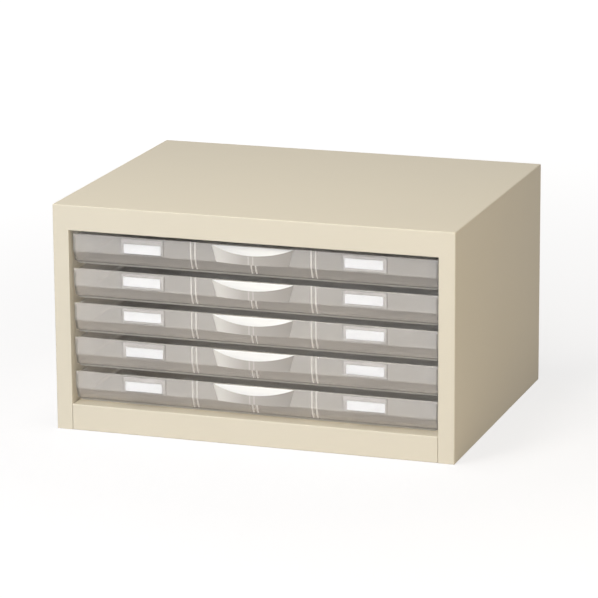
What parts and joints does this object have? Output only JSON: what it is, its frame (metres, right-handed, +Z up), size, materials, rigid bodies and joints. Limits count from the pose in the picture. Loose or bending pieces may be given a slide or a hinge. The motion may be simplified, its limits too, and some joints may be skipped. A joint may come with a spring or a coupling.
{
  "type": "desktop drawer unit",
  "caption": "Low steel desktop case with shallow clear plastic drawers that slide out on folded ledges, each with a moulded finger pull and card pockets.",
  "frame": {"origin": "under the middle of the case, on the desk", "axes": "+X across the front to the right, -Y out of the front, +Z up"},
  "size_m": [0.47, 0.362, 0.262],
  "materials": {
    "case_paint": "satin cream enamel",
    "tray_plastic": "clear grey moulded plastic",
    "card": "plain white card"
  },
  "bodies": {
    "case": {"casing_shell": "case_paint", "floor_panel": "case_paint", "back_panel": "case_paint", "runner_panel_left": "case_paint", "runner_panel_right": "case_paint", "runner_left_1": "case_paint", "runner_left_2": "case_paint", "runner_left_3": "case_paint", "runner_left_4": "case_paint", "runner_left_5": "case_paint", "runner_right_1": "case_paint", "runner_right_2": "case_paint", "runner_right_3": "case_paint", "runner_right_4": "case_paint", "runner_right_5": "case_paint"},
    "drawer_1": {"tray_1": "tray_plastic", "label_card_left_1": "card", "label_card_right_1": "card"},
    "drawer_2": {"tray_2": "tray_plastic", "label_card_left_2": "card", "label_card_right_2": "card"},
    "drawer_3": {"tray_3": "tray_plastic", "label_card_left_3": "card", "label_card_right_3": "card"},
    "drawer_4": {"tray_4": "tray_plastic", "label_card_left_4": "card", "label_card_right_4": "card"},
    "drawer_5": {"tray_5": "tray_plastic", "label_card_left_5": "card", "label_card_right_5": "card"}
  },
  "joints": [
    {"name": "drawer_1_slide", "type": "slide", "parent": "case", "child": "drawer_1", "axis": [0, -1, 0], "range_m": [0, 0.24]},
    {"name": "drawer_2_slide", "type": "slide", "parent": "case", "child": "drawer_2", "axis": [0, -1, 0], "range_m": [0, 0.24]},
    {"name": "drawer_3_slide", "type": "slide", "parent": "case", "child": "drawer_3", "axis": [0, -1, 0], "range_m": [0, 0.24]},
    {"name": "drawer_4_slide", "type": "slide", "parent": "case", "child": "drawer_4", "axis": [0, -1, 0], "range_m": [0, 0.24]},
    {"name": "drawer_5_slide", "type": "slide", "parent": "case", "child": "drawer_5", "axis": [0, -1, 0], "range_m": [0, 0.24]}
  ]
}
